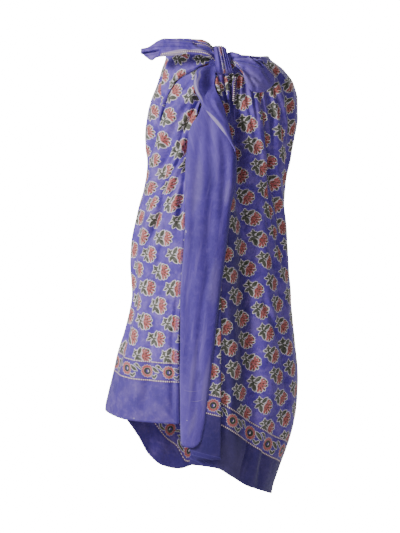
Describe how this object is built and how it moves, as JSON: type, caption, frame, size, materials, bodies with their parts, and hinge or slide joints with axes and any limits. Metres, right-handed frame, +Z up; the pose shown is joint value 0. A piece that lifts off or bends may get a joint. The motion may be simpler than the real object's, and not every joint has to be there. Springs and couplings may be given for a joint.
{
  "type": "sarong",
  "caption": "Block-printed cotton sarong, wrapped as a long skirt and knotted at the front of the waist, with a plain end hanging down and short tied ends.",
  "frame": {"origin": "middle of the waist, at the height of the knot, where the wearer holds the sarong up", "axes": "+Z up along the wearer, -Y towards the front, where the knot is, +X to the viewer's right"},
  "size_m": [0.4807, 0.3555, 1.1209],
  "materials": {
    "printed_cotton": "thin violet cotton with coral and green block-printed flowers, soft sheen",
    "plain_border_cotton": "thin plain violet cotton with an uneven washed dye, soft sheen"
  },
  "bodies": {
    "root": {"wrap_front_left": "printed_cotton", "wrap_back_left": "printed_cotton", "wrap_back_right": "printed_cotton", "wrap_front_right": "printed_cotton", "front_pleat": "printed_cotton", "waist_tuck": "printed_cotton", "gather_1": "printed_cotton", "gather_2": "printed_cotton", "gather_3": "printed_cotton", "tail_drop": "plain_border_cotton", "tail_twist": "plain_border_cotton", "knot_band": "plain_border_cotton", "tie_left": "plain_border_cotton", "tie_right": "plain_border_cotton"}
  },
  "joints": []
}
